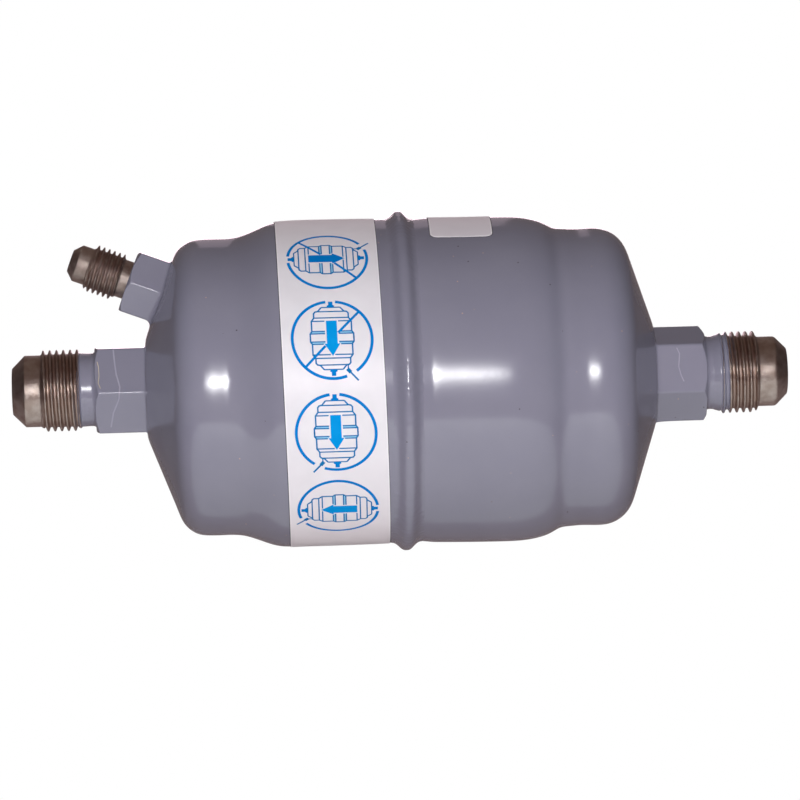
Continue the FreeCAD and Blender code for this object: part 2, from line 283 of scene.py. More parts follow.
def rounded_outline(corners, bends, turn_step=6.0):
    """Points along straight runs whose inner corners are turned by bend radii."""
    corners = [np.array(corner, float) for corner in corners]
    points = [corners[0]]
    for before, corner, after, bend in zip(corners, corners[1:], corners[2:], bends):
        back = (before - corner) / np.linalg.norm(before - corner)
        ahead = (after - corner) / np.linalg.norm(after - corner)
        half_turn = (math.pi - math.acos(float(np.clip(back @ ahead, -1, 1)))) / 2
        if bend <= 0 or half_turn < 1e-6:
            points.append(corner)
            continue
        bisector = (back + ahead) / np.linalg.norm(back + ahead)
        centre = corner + bisector * bend / math.cos(half_turn)
        start = corner + back * bend * math.tan(half_turn) - centre
        end = corner + ahead * bend * math.tan(half_turn) - centre
        count = max(2, math.ceil(2 * math.degrees(half_turn) / turn_step))
        for step in range(count + 1):
            share = step / count
            ray = start * math.sin((1 - share) * 2 * half_turn) + end * math.sin(share * 2 * half_turn)
            points.append(centre + ray / math.sin(2 * half_turn))
    points.append(corners[-1])
    return np.array(points)


def evenly_spaced(points, spacing):
    """The same line with points about one spacing apart."""
    lengths = np.r_[0, np.cumsum(np.linalg.norm(np.diff(points, axis=0), axis=1))]
    stations = np.linspace(0, lengths[-1], int(lengths[-1] / spacing) + 1)
    return np.column_stack([np.interp(stations, lengths, points[:, axis]) for axis in (0, 1)])


def softened(points, spacing, spread):
    """Line whose bends run into each other as in drawn sheet. Its ends stay where they are."""
    line = evenly_spaced(points, spacing)
    reach = int(3 * spread / spacing)
    weights = np.exp(-0.5 * (np.arange(-reach, reach + 1) * spacing / spread) ** 2)
    weights /= weights.sum()
    head = 2 * line[0] - line[reach:0:-1]
    tail = 2 * line[-1] - line[-2:-reach - 2:-1]
    padded = np.vstack([head, line, tail])
    return np.column_stack([np.convolve(padded[:, axis], weights, "valid") for axis in (0, 1)])


def shell_skin(form, marks):
    """Outer outline of a half shell as (distance from the seam, radius)."""
    slope = math.radians(step_angle)
    reduced = body_radius - form["step_depth"]
    slope_length = form["step_depth"] / math.sin(slope)
    bend = min(step_bend, 0.49 * slope_length / math.tan(slope / 2))
    slope_start = form["shoulder_at"] - form["step_to_shoulder"] + bend * math.tan(slope / 2)
    slope_end = slope_start + form["step_depth"] / math.tan(slope)
    land_at = form["shoulder_at"] + (reduced - land_radius) * math.tan(math.radians(form["cone_angle"]))
    corners = [(seam_gap / 2, body_radius), (slope_start, body_radius), (slope_end, reduced),
               (form["shoulder_at"], reduced), (land_at, land_radius),
               (land_at, gas_size["spigot_radius"] + 0.05)]
    line = rounded_outline(corners, [bend, bend, form["shoulder_bend"], land_bend])
    line = softened(line, spacing=0.35, spread=0.9)
    for centre, spread, height, power in marks:
        line[:, 1] += height * np.exp(-np.abs((line[:, 0] - centre) / spread) ** power)
    return line


def eased(share):
    """Smooth step between 0 and 1."""
    share = np.clip(share, 0, 1)
    return share * share * (3 - 2 * share)


def bowed(piece):
    """Body piece with the small shifts that welding left."""
    places = np.empty(len(piece.data.vertices) * 3)
    piece.data.vertices.foreach_get("co", places)
    places = places.reshape(-1, 3) / MM
    along, height = places[:, 0].copy(), places[:, 2].copy()
    on_outlet = seam_lift * eased((along - lift_from) / lift_length)
    on_inlet = seam_lift * np.exp(-(along / lift_fade) ** 2)
    places[:, 2] += np.where(along < 0, on_outlet, on_inlet)
    low = np.clip((-height - push_below) / push_depth, 0, 1)
    places[:, 0] += cone_push * eased((push_from - along) / push_length) * low
    piece.data.vertices.foreach_set("co", (places * MM).ravel())
    piece.data.update()
    return piece


def walled(line):
    """Closed section of a shell whose outer skin is the line, with a coarser inner skin."""
    direction = np.gradient(line, axis=0)
    direction /= np.linalg.norm(direction, axis=1)[:, None]
    inner = line + wall * np.column_stack([direction[:, 1], -direction[:, 0]])
    every_fourth = inner[::-1][::4]
    return np.vstack([line, every_fourth, inner[:1], line[:1]])


# Turned pieces: one tree that turns an outline about X and cuts a thread into it

no_thread = {"start": 1e3, "end": 1e3 + 1, "radius": 1e3, "depth": 0.0, "pitch": 1.0}


def turning_tree():
    """Turns the outline's points about X. A thread and a slow unevenness change the radius."""
    new, wants = node_tree("turned_about_the_axis", {
        "Segments": "Int", "Thread start": "Float", "Thread end": "Float", "Crest radius": "Float",
        "Thread depth": "Float", "Pitch": "Float", "Run-out": "Float", "Unevenness": "Float",
        "Unevenness length": "Float", "Stretch": "Float", "Seed": "Float", "Finish": "Material"})
    reckon = new.reckon
    rows = new.node("AttributeDomainSize", {"Geometry": wants["Geometry"]}).outputs["Point Count"]
    sheet = new.put("MeshGrid", {
        "Size X": 1.0, "Size Y": 1.0, "Vertices X": rows,
        "Vertices Y": reckon("ADD", wants["Segments"], 1.0)})
    place = new.put("InputPosition")
    flat = new.parts(place)
    row = reckon("ROUND", reckon("MULTIPLY", reckon("ADD", flat[0], 0.5), reckon("SUBTRACT", rows, 1.0)))
    turn = reckon("MULTIPLY_ADD", flat[1], math.tau, math.tau)
    picked = new.put("SampleIndex", {
        "Geometry": wants["Geometry"], "Value": place, "Index": row},
        data_type="FLOAT_VECTOR", domain="POINT")
    outline = new.parts(picked)
    along, radius = outline[0], outline[2]

    turns = reckon("ADD", reckon("DIVIDE", along, wants["Pitch"]), reckon("DIVIDE", turn, math.tau))
    zigzag = reckon("MULTIPLY", reckon("PINGPONG", turns, 0.5), 2.0)
    flank = new.carried(zigzag, (0.12, 0.76), (0.0, 1.0), interpolation_type="SMOOTHSTEP")
    ends = [new.put("ShaderNodeClamp", {"Value": reckon("DIVIDE", reach, wants["Run-out"])})
            for reach in (reckon("SUBTRACT", along, wants["Thread start"]),
                          reckon("SUBTRACT", wants["Thread end"], along))]
    shallowest = reckon("SUBTRACT", wants["Crest radius"], reckon("MULTIPLY", wants["Thread depth"], 1.3))
    outside = reckon("GREATER_THAN", radius, shallowest)
    groove = reckon("MULTIPLY", reckon("MULTIPLY", flank, outside), reckon("MULTIPLY", *ends))
    cut = reckon("SUBTRACT", radius, reckon("MULTIPLY", groove, wants["Thread depth"]))

    ring = new.ring(turn)
    spread = new.around(reckon("DIVIDE", along, wants["Stretch"]), ring, radius)
    wander = new.put("ShaderNodeTexNoise", {
        "Vector": spread, "W": wants["Seed"], "Detail": 1.0,
        "Scale": reckon("DIVIDE", 1.0, wants["Unevenness length"])}, noise_dimensions="4D")
    final = reckon("ADD", cut, reckon("MULTIPLY", reckon("SUBTRACT", wander, 0.5), wants["Unevenness"]))

    for name, value in (("groove", groove), ("along", along)):
        sheet = new.put("StoreNamedAttribute", {"Geometry": sheet, "Name": name, "Value": value},
                        data_type="FLOAT", domain="POINT")
    turned = new.put("SetPosition", {"Geometry": sheet, "Position": new.around(along, ring, final)})
    return finish_tree(new, wants, turned)


def turned_piece(name, outline, finish, segments=128, thread=no_thread, run_out=0.8, uneven=0.0,
                 uneven_length=12.0, stretch=1.0, seed=0.0, placement=Matrix()):
    """Piece turned from a closed outline of (along, radius) pairs in millimetres."""
    points = [(along * MM, 0.0, radius * MM) for along, radius in outline]
    edges = [(number, number + 1) for number in range(len(points) - 1)]
    piece = mesh_object(name, points, edges, [])
    run_tree(piece, turning, {
        "Segments": segments, "Thread start": thread["start"] * MM, "Thread end": thread["end"] * MM,
        "Crest radius": thread["radius"] * MM, "Thread depth": thread["depth"] * MM,
        "Pitch": thread["pitch"] * MM, "Run-out": run_out * MM, "Unevenness": uneven * MM,
        "Unevenness length": uneven_length * MM, "Stretch": stretch, "Seed": seed, "Finish": finish})
    piece.data.transform(placement)
    return piece


# Films and print: one tree that thickens flat shapes and wraps them round the body

def wrapping_tree():
    """Lays flat faces on a round piece: X stays along the axis, Y runs round, Z stands proud."""
    new, wants = node_tree("wrapped_round_the_body", {
        "Carrier": "Object", "Thickness": "Float", "Lift": "Float", "Body radius": "Float",
        "Skew": "Float", "Finish": "Material"})
    reckon = new.reckon
    raised = new.put("ExtrudeMesh", {
        "Mesh": wants["Geometry"], "Offset": new.vector(0.0, 0.0, 1.0),
        "Offset Scale": wants["Thickness"], "Individual": False}, mode="FACES")
    closed = new.node("JoinGeometry")
    for side in (new.put("FlipFaces", {0: wants["Geometry"]}), raised):
        new.tree.links.new(side, closed.inputs[0])
    place = new.parts(new.put("InputPosition"))
    ring = new.ring(reckon("DIVIDE", place[1], wants["Body radius"]))
    height = reckon("MULTIPLY", wants["Body radius"], ring[1])
    leaning = reckon("SUBTRACT", place[0], reckon("MULTIPLY", height, wants["Skew"]))
    outside = new.around(leaning, ring, reckon("MULTIPLY", wants["Body radius"], 1.2))
    outwards = new.vector(0.0, *ring)
    inwards = new.put("ShaderNodeVectorMath", {0: outwards, "Scale": -1.0}, operation="SCALE")
    found = new.node("Raycast", {
        "Target Geometry": new.node("ObjectInfo", {"Object": wants["Carrier"]}).outputs["Geometry"],
        "Source Position": outside, "Ray Direction": inwards, "Ray Length": wants["Body radius"]})
    proud = new.put("ShaderNodeVectorMath", {
        0: outwards, "Scale": reckon("ADD", wants["Lift"], place[2])}, operation="SCALE")
    target = new.put("ShaderNodeVectorMath", {
        0: found.outputs["Hit Position"], 1: proud}, operation="ADD")
    return finish_tree(new, wants, new.put("SetPosition", {
        "Geometry": closed.outputs[0], "Position": target}))


def wrapped_piece(name, shapes, finish, carrier, thickness, lift, skew=0.0):
    """Piece made of flat shapes, each a list of vertices and faces in millimetres."""
    vertices, faces = [], []
    for shape_vertices, shape_faces in shapes:
        first = len(vertices)
        vertices += [(x * MM, y * MM, 0.0) for x, y in shape_vertices]
        faces += [[first + corner for corner in face] for face in shape_faces]
    piece = mesh_object(name, vertices, [], faces)
    run_tree(piece, wrapping, {
        "Carrier": carrier, "Thickness": thickness * MM, "Lift": lift * MM,
        "Body radius": body_radius * MM, "Skew": math.tan(math.radians(skew)), "Finish": finish})
    return piece


def cell_faces(rows, columns, closed=False):
    """Faces of a net of points. In a closed net the last row and column meet the first."""
    open_end = 0 if closed else 1
    return [(row * columns + column, row * columns + (column + 1) % columns,
             (row + 1) % rows * columns + (column + 1) % columns, (row + 1) % rows * columns + column)
            for row in range(rows - open_end) for column in range(columns - open_end)]


def flat_patch(left, right, low, high, columns, rows):
    """Rectangle of even cells."""
    xs = np.linspace(left, right, columns + 1)
    ys = np.linspace(low, high, rows + 1)
    return [(x, y) for y in ys for x in xs], cell_faces(rows + 1, columns + 1)


def stroke(points, width, closed=False):
    """Ribbon of even width along a line of points, mitred where the line turns."""
    line = np.array(points, float)
    if closed:
        before, after = np.roll(line, 1, axis=0), np.roll(line, -1, axis=0)
    else:
        before = np.vstack([2 * line[0] - line[1], line[:-1]])
        after = np.vstack([line[1:], 2 * line[-1] - line[-2]])
    into = (line - before) / np.linalg.norm(line - before, axis=1)[:, None]
    out = (after - line) / np.linalg.norm(after - line, axis=1)[:, None]
    mean = into + out
    mean /= np.linalg.norm(mean, axis=1)[:, None]
    side = np.column_stack([-mean[:, 1], mean[:, 0]])
    stretch = np.clip((into * mean).sum(axis=1), 0.4, 1.0)[:, None]
    left, right = line + side * width / 2 / stretch, line - side * width / 2 / stretch
    count = len(line)
    vertices = [tuple(p) for p in left] + [tuple(p) for p in right]
    spans = range(count if closed else count - 1)
    faces = [(count + s, count + (s + 1) % count, (s + 1) % count, s) for s in spans]
    return vertices, faces


def divided(start, end, longest=0.8):
    """Points on a straight run, close enough together to bend round the body."""
    start, end = np.array(start, float), np.array(end, float)
    count = max(1, math.ceil(float(np.linalg.norm(end - start)) / longest))
    return [tuple(start + (end - start) * step / count) for step in range(count + 1)]


def polyline(corners):
    """Straight runs through the corners, divided to follow the body."""
    points = []
    for start, end in zip(corners, corners[1:]):
        points += divided(start, end)[:-1]
    return points + [tuple(corners[-1])]


def arc_points(radius, start, end):
    """Points of an arc about the origin between two angles in degrees."""
    count = max(2, math.ceil(abs(end - start) / 4))
    angles = np.radians(np.linspace(start, end, count + 1))
    return [(radius * math.cos(a), radius * math.sin(a)) for a in angles]


# Hexagons

def hexagon_radius(angles, flats, edge_round):
    """Distance from the axis to a hexagon's skin, with its six edges rounded."""
    inner = flats / 2
    centre = (inner - edge_round) / math.cos(math.pi / 6)
    tangent = math.atan2(edge_round / 2, centre + edge_round * math.cos(math.pi / 6))
    away = (np.asarray(angles) + math.pi / 6) % (math.pi / 3) - math.pi / 6
    flat = inner / np.cos(math.pi / 6 - np.abs(away))
    root = np.sqrt(np.maximum(edge_round ** 2 - (centre * np.sin(away)) ** 2, 0))
    return np.where(np.abs(away) < tangent, centre * np.cos(away) + root, flat)


def hexagon_piece(name, form, foot, placement):
    """Hexagon with a conical chamfer, rounded edges and a fillet where it meets its seat."""
    segments = 432
    length = form["hex_length"]
    angles = np.arange(segments) * math.tau / segments
    skin = hexagon_radius(angles + math.radians(form["turn"]), form["flats"], form["edge_round"])
    face_radius = form["face_radius"] - form["chamfer_drop"] * np.sin(angles)
    slope = math.tan(math.radians(hex_chamfer_angle))
    chamfer_start = length - (form["flats"] / math.sqrt(3) - face_radius.min()) * slope - 0.4
    soft, sunk, skirt = 0.07, 0.6, 0.25
    below = np.maximum(0, -np.sin(angles))
    fillet = form["fillet"] * (1 + form["pooled"] * np.maximum(0, np.sin(angles)) ** 2)

    # Rows of (height, radius), from inside the seat up the wall and over the face.
    hole = skin * 0 + form["spigot_radius"] - 0.3
    flare = skin + fillet + 0.12
    rows = [(foot(angles, hole) - sunk, hole), (foot(angles, flare) - skirt, flare)]
    for bend in np.linspace(0, math.pi / 2, 9):
        radius = skin + form["sag"] * below + fillet * (1 - math.sin(bend))
        rows.append((foot(angles, radius) + fillet * (1 - math.cos(bend)), radius))
    wall_foot = rows[-1][0]
    for share in np.linspace(0, 1, 13)[1:-1]:
        height = wall_foot + (chamfer_start - wall_foot) * share
        rows.append((height, skin + form["sag"] * below * np.exp(-(height - wall_foot) / 1.6)))
    for height in np.linspace(chamfer_start, length - 0.1, 26):
        cone = face_radius + (length - height) / slope
        rows.append((height, skin - soft * np.log(1 + np.exp((skin - cone) / soft))))
    last = rows[-1][1]
    rows += [(length - drop, last - inset) for drop, inset in ((0.05, 0.06), (0.015, 0.14), (0.0, 0.26))]
    rows.append((length, hole))

    vertices = []
    for height, radius in rows:
        vertices += list(zip((height + skin * 0) * MM, -radius * np.cos(angles) * MM,
                             radius * np.sin(angles) * MM))
    piece = mesh_object(name, vertices, [], cell_faces(len(rows), segments, closed=True))
    piece.data.transform(placement)
    face_outwards(piece)
    piece.data.shade_smooth()
    return piece


def flat_seat(angles, radius):
    """Seat of the gas hexagons: the flat land at a shell's end, at any radius."""
    return np.zeros_like(angles)


def cone_seat(angles, radius):
    """Height at which the oil return's walls meet the outlet shell, found by halving."""
    line = outlet_skin
    above, below = np.full_like(angles, 4.0), np.full_like(angles, -9.0)
    turn = np.array(return_placement.to_3x3())
    foot = np.array(return_placement.translation) / MM
    for _ in range(40):
        middle = (above + below) / 2
        local = np.stack([middle, -radius * np.cos(angles), radius * np.sin(angles)])
        world = turn @ local + foot[:, None]
        skin = np.interp(-world[0], line[:, 0], line[:, 1])
        outside = np.hypot(world[1], world[2]) > skin
        above = np.where(outside, middle, above)
        below = np.where(outside, below, middle)
    return (above + below) / 2


# Materials

class Finish(Nodes):
    """A material being built."""

    def __init__(self, name):
        self.made = bpy.data.materials.new(name)
        self.made.use_nodes = True
        super().__init__(self.made.node_tree)

    @cached_property
    def place(self):
        """Object coordinates."""
        return self.node("TexCoord").outputs["Object"]

    def noise(self, size, detail):
        """Clouds of about this size."""
        return self.put("TexNoise", {"Vector": self.place, "Scale": 1 / size, "Detail": detail})

    def bump(self, height, distance, strength, over=None):
        """Relief this deep, over other relief where that is given."""
        under = {} if over is None else {"Normal": over}
        return self.put("Bump", {"Height": height, "Distance": distance, "Strength": strength, **under})

    def ramp(self, factor, stops):
        """Colour ramp with (position, sRGB hex) stops."""
        node = self.node("ValToRGB", {"Fac": factor})
        elements = node.color_ramp.elements
        while len(elements) < len(stops):
            elements.new(0.5)
        for element, (position, code) in zip(elements, stops):
            element.position = position
            element.color = linear(code)
        return node.outputs["Color"]

    def blended(self, factor, first, second):
        """Two colours mixed by a factor."""
        return self.node("Mix", {0: factor, 6: first, 7: second}, data_type="RGBA").outputs[2]

    def close(self, surface):
        """Ends the material with what its surface does."""
        self.node("OutputMaterial", {"Surface": surface})
        return self.made

    def deliver(self, inputs):
        """Ends the material with one physical shader."""
        return self.close(self.put("BsdfPrincipled", inputs))


def stove_enamel():
    """Grey-blue stove enamel, sprayed: a smooth gloss over orange peel, with grit under it."""
    new = Finish("grey_stove_enamel")
    # Droplets that flowed together about 0.8 mm apart break up the edge of each highlight.
    waved = new.bump(new.noise(0.009, 1.0), 0.00006, 0.5)
    peeled = new.bump(new.noise(0.0008, 2.0), 0.000009, 0.6, waved)
    # Faint clouds where the coat is thicker.
    colour = new.ramp(new.noise(0.014, 3.0), [(0.3, "#828092"), (0.7, "#868495")])
    # Grit under the coat: rare dark and rust-pink dots, 0.2 mm across.
    cells = new.node("TexVoronoi", {"Vector": new.place, "Scale": 1 / 0.0034}).outputs
    kind = new.node("SeparateColor", {0: cells["Color"]}).outputs
    shown = new.reckon("MULTIPLY", new.reckon("LESS_THAN", cells["Distance"], 0.05),
                       new.reckon("GREATER_THAN", kind[0], 0.45))
    grit = new.ramp(kind[1], [(0.45, "#4A4650"), (0.55, "#B79A93")])
    return new.deliver({
        "Base Color": new.blended(shown, colour, grit), "Roughness": 0.5, "Specular IOR Level": 0.0,
        "Normal": waved, "Coat Weight": 1.0, "Coat IOR": 1.9, "Coat Roughness": 0.13,
        "Coat Normal": peeled})


def turned_steel(name, smoothest, roughest):
    """Free-cutting steel, turned and oiled: warm grey with fine tool rings, and painted shade that makes the
    thread grooves browner and darker.
    """
    new = Finish(name)
    along = new.node("Attribute", attribute_name="along").outputs["Fac"]
    groove = new.node("Attribute", attribute_name="groove").outputs["Fac"]
    # The tool's feed leaves rings 0.15 mm apart, drawn at 0.25 mm to show in the render.
    rings = new.put("TexNoise", {
        "W": new.reckon("MULTIPLY", along, 1 / 0.00025), "Scale": 1.0, "Detail": 2.0},
        noise_dimensions="1D")
    ringed = new.bump(rings, 0.000015, 0.5)
    # Pits and scratches too small to tell apart make it glitter.
    pitted = new.bump(new.noise(0.0002, 2.0), 0.00004, 0.7, ringed)
    # Rubbed and stained patches a few millimetres wide.
    stains = new.noise(0.0022, 4.0)
    steel = new.ramp(stains, [(0.35, "#C6B4AA"), (0.65, "#E2D5CD")])
    # The groove attribute gives the thread grooves a darker, browner colour than the crests: painted shade.
    return new.deliver({
        "Base Color": new.blended(groove, steel, linear("#BCA79D")), "Metallic": 1.0,
        "Roughness": new.carried(stains, (0.3, 0.7), (smoothest, roughest)), "Normal": pitted})


def pressed_steel():
    """Cold-rolled sheet, pressed and left bare: grey with a soft rolled grain along its length."""
    new = Finish("pressed_sheet_steel")
    stretched = new.put("Mapping", {"Vector": new.place, "Scale": (0.1, 1.0, 1.0)})
    grain = new.put("TexNoise", {"Vector": stretched, "Scale": 1 / 0.0004, "Detail": 3.0})
    return new.deliver({
        "Base Color": new.ramp(grain, [(0.3, "#8F8D8B"), (0.7, "#A5A3A0")]), "Metallic": 1.0,
        "Roughness": 0.4, "Normal": new.bump(grain, 0.00001, 0.4)})


def knitted_wire():
    """Stainless wire knitted and rolled into pads: bright loops 1.6 mm apart, with painted shade in the gaps
    between them.
    """
    new = Finish("knitted_stainless_wire")
    loops = new.node("TexVoronoi", {"Vector": new.place, "Scale": 1 / 0.0016},
                     feature="DISTANCE_TO_EDGE").outputs["Distance"]
    # The dark colour between the loops is painted shade in the gaps.
    return new.deliver({
        "Base Color": new.ramp(loops, [(0.02, "#C9C7C4"), (0.22, "#2E2C2B")]), "Metallic": 1.0,
        "Roughness": 0.35, "Normal": new.bump(new.reckon("MULTIPLY", loops, -1.0), 0.0006, 1.0)})


def jet_brass():
    """Turned brass: yellow metal with faint dulling."""
    new = Finish("turned_brass")
    colour = new.ramp(new.noise(0.002, 2.0), [(0.3, "#C2A24E"), (0.7, "#D8BC6C")])
    return new.deliver({"Base Color": colour, "Metallic": 1.0, "Roughness": 0.3})


def coated_film(name, pale, dark):
    """White polyester film with a satin coat, whose adhesive lets faint waves through."""
    new = Finish(name)
    waves = new.noise(0.006, 2.0)
    return new.deliver({
        "Base Color": new.ramp(waves, [(0.3, dark), (0.7, pale)]), "Roughness": 0.36,
        "Specular IOR Level": 1.0, "Sheen Weight": 0.5, "Sheen Roughness": 0.8,
        "Sheen Tint": linear("#FFE9EE"), "Normal": new.bump(waves, 0.00012, 0.5)})


def thin_coat(name, code, thin_code):
    """Thin matt coat such as offset ink: an even field whose density drifts a little."""
    new = Finish(name)
    colour = new.ramp(new.noise(0.004, 2.0), [(0.35, code), (0.7, thin_code)])
    return new.deliver({"Base Color": colour, "Roughness": 0.5, "Specular IOR Level": 0.05})


enamel = stove_enamel()
steel = turned_steel("turned_oiled_steel", 0.30, 0.42)
matt_steel = turned_steel("matt_turned_steel", 0.42, 0.52)
sheet_steel = pressed_steel()
wire = knitted_wire()
brass = jet_brass()
label_film = coated_film("satin_label_film", "#EBE8EF", "#E5E2E9")
sticker_film = coated_film("satin_sticker_film", "#E4E0E8", "#DDD9E2")
# Whiter film for a painted highlight along the label's cut edges and round the sticker's border.
edge_highlight_film = coated_film("cut_film_edge", "#FAF8FC", "#F2F0F6")
ring_ink = thin_coat("blue_ink", "#0077C9", "#0A7ECE")
arrow_ink = thin_coat("light_blue_ink", "#0090DD", "#0A97E1")
line_ink = thin_coat("dark_blue_ink", "#0A6DB0", "#1876B6")
stripe_ink = thin_coat("pale_blue_ink", "#8FC3E4", "#A0CDE9")
# Dark strips just outside the films' edges: a painted shadow.
edge_shadow_paint = thin_coat("dust_in_adhesive", "#4E4B55", "#5C5963")
# Pale lines across the hexagons' faces: painted reflections.
reflection_line_paint = thin_coat("scuffed_enamel", "#9C9AAB", "#9391A4")
# Cream line along the outlet hexagon's chamfer edge.
cream_line_paint = thin_coat("chipped_enamel", "#C4B69E", "#AFA391")

# Finishes of the CAD solids, by words in their names. All others are pressed sheet.
cad_finishes = {
    "mesh_pad": wire, "gauze": wire, "return_jet": brass, "shell": enamel, "girth_weld": enamel,
    "_fitting": steel, "mounting_label": label_film, "data_sticker": sticker_film}
for name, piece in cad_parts.items():
    finish = next((finish for word, finish in cad_finishes.items() if word in name), sheet_steel)
    if piece.material_slots:
        piece.material_slots[0].material = finish
    else:
        piece.data.materials.append(finish)

turning = turning_tree()
wrapping = wrapping_tree()

# Shells and weld

to_outlet = Matrix.Rotation(math.pi, 4, "Z")
inlet_skin = shell_skin(inlet_form, inlet_marks)
outlet_skin = shell_skin(outlet_form, outlet_marks)

inlet_drawn = turned_piece("inlet_drawn_shell", walled(inlet_skin), enamel, shell_segments,
                           uneven=0.03, uneven_length=22.0, seed=3.0)
settle(bowed(inlet_drawn), "grey_enamel", "inlet_shell")
outlet_drawn = turned_piece("outlet_drawn_shell", walled(outlet_skin), enamel, shell_segments,
                            uneven=0.03, uneven_length=22.0, seed=5.0, placement=to_outlet)
settle(bowed(outlet_drawn), "grey_enamel", "outlet_shell")

bead_run = np.linspace(-bead_reach, bead_reach, 37)
seam_skin = np.interp(bead_run, [-bead_reach, bead_reach],
                      [np.interp(bead_reach, skin[:, 0], skin[:, 1]) for skin in (outlet_skin, inlet_skin)])
bead_skin = seam_skin - bead_sunk + bead_height * np.exp(-np.abs(bead_run / bead_spread) ** bead_power)
bead_outline = list(zip(bead_run, bead_skin)) + [
    (bead_reach, bead_foot), (seam_gap / 2, bead_foot), (seam_gap / 2, bead_root),
    (-seam_gap / 2, bead_root), (-seam_gap / 2, bead_foot), (-bead_reach, bead_foot),
    (-bead_reach, bead_skin[0])]
bead_place = Matrix.Translation((0, 0, bead_rise * MM))
bead_place[0][1] = -bead_lean
bead = turned_piece("girth_weld_bead", bead_outline, enamel, 960, uneven=0.2, uneven_length=1.1,
                    stretch=6.0, seed=2.0, placement=bead_place)
settle(bead, "grey_enamel", "girth_weld")

# Connections

def stem_outline(form):
    """Closed outline of a turned stem, with close rows where its thread is cut."""
    chamfer, close, wide = 0.6, 0.09, 1.5
    start, end, nose, bore = form["start"], form["end"], form["nose"], form["bore"]
    foot = (-form["spigot"], form["spigot_radius"])
    shoulder = form["hex_length"] / 2
    tip_at = form["nose_end"] + nose - form["tip"]
    corners = [foot, (shoulder, foot[1]), (shoulder, form["neck"]), (start, form["neck"]),
               (start + chamfer, form["radius"]), (end - chamfer, form["radius"]), (end, nose),
               (form["nose_end"], nose), (tip_at, form["tip"]), (tip_at, bore), (foot[0], bore), foot]
    rounds = [0, 0, 0.3, 0.15, 0.15, 0.2, form["nose_round"], 0.35, 0.15, 0]
    line = rounded_outline(corners, rounds, 15.0)
    dense = []
    for first, last in zip(line[:-1], line[1:]):
        in_thread = start - 0.5 < (first[0] + last[0]) / 2 < end + 0.5
        outside = min(first[1], last[1]) > bore + 0.5
        gap = close if in_thread and outside else wide
        count = max(1, math.ceil(float(np.linalg.norm(last - first)) / gap))
        dense += [first + (last - first) * step / count for step in range(count)]
    return np.array(dense + [line[-1]])


def paint_collar(form):
    """Enamel on the neck: it gathers at the thread, fills its first grooves and is worn off crests."""
    coat, foot_radius = 0.07, 8.95
    neck, start, end, hexagon = form["neck"], form["start"], form["paint_end"], form["hex_length"]
    line = [(hexagon - 0.3, neck - 0.6), (hexagon - 0.3, foot_radius), (hexagon + 0.02, foot_radius),
            (hexagon + 0.12, neck + 0.35), (hexagon + 0.4, neck + 0.13)]
    for position in np.arange(hexagon + 0.8, end, 0.09):
        before = np.clip((position - start + 1.6) / 1.6, 0, 1)
        rise = np.clip((position - start) / 0.8, 0, 1)
        worn = np.clip((position - end + form["worn"]) / form["worn"], 0, 1)
        gone = np.clip((position - end + 0.7) / 0.7, 0, 1)
        foot = neck + coat + form["paint_gathered"] * before
        full = foot + (form["radius"] + coat - foot) * rise
        line.append((position, full - 0.3 * worn - 1.15 * gone ** 1.5))
    return line + [(end, neck - 0.6), line[0]]


# Pale lines on the hexagons: painted reflections across the faces, and a cream line along the outlet
# hexagon's chamfer edge. Each has its finish, width, and a line of (along the axis, turn in degrees).
hexagon_lines = {
    "outlet": [
        (reflection_line_paint, 0.34, [(-67.2, 55), (-66.9, 36), (-66.6, 21), (-65.8, 3), (-66.1, -12), (-67.5, -33),
                         (-68.2, -56)]),
        (cream_line_paint, 0.17, [(-71.0, 40), (-70.7, 33), (-70.6, 19), (-70.8, 9), (-70.3, 2)])],
    "inlet": [(reflection_line_paint, 0.28, [(64.1, 34), (64.7, 27), (64.4, 10), (64.9, -2), (65.5, -10)])]}


def connection(name, node, form, finish, segments, foot, placement):
    """Turned stem and enamelled hexagon. Gives the hexagon and the place of what is turned."""
    spun = placement @ Matrix.Rotation(math.radians(form["stem_turn"]), 4, "X")
    stem = turned_piece(f"{name}_turned_stem", stem_outline(form), finish, segments, thread=form,
                        placement=spun)
    settle(stem, "turned_steel", node)
    hexagon = hexagon_piece(f"{name}_hexagon", form, foot, placement)
    return settle(hexagon, "grey_enamel", node, finish=enamel), spun


def gas_connection(end, form, skin, side):
    """Connection on a shell's flat land, with painted reflection lines (and on the outlet a cream chamfer
    line) on its hexagon and enamel on its neck.
    """
    placement = side @ Matrix.Translation((float(skin[:, 0].max()) * MM, 0, form["rise"] * MM))
    node = f"{end}_fitting"
    hexagon, spun = connection(end, node, form, steel, 192, flat_seat, placement)
    # Each painted line is laid on the hexagon as a thin strip.
    for mark, (finish, width, places) in enumerate(hexagon_lines[end]):
        line = [(along, math.radians(turn) * body_radius) for along, turn in places]
        painted_line = wrapped_piece(f"{end}_hexagon_scuff_{mark}", [stroke(polyline(line), width)], finish,
                              hexagon, 0.02, 0.0)
        settle(painted_line, "grey_enamel", node)
    collar = turned_piece(f"{end}_neck_enamel", paint_collar(form), enamel, 192,
                          thread=dict(form, depth=0.75), placement=spun)
    settle(collar, "grey_enamel", node)


gas_connection("inlet", inlet_connection, inlet_skin, Matrix())
gas_connection("outlet", outlet_connection, outlet_skin, to_outlet)
return_placement = (Matrix.Translation((-return_foot_along * MM, 0, return_foot_height * MM))
                    @ Matrix.Rotation(math.radians(180 + return_lean), 4, "Y"))
connection("return", "oil_return_fitting", return_connection, matt_steel, 160, cone_seat, return_placement)

# Label and its print

left, right = label_centre - label_width / 2, label_centre + label_width / 2
film_top = film_adhesive + film_thickness
leaning = Matrix.Identity(4)
leaning[0][2] = -math.tan(math.radians(label_skew))


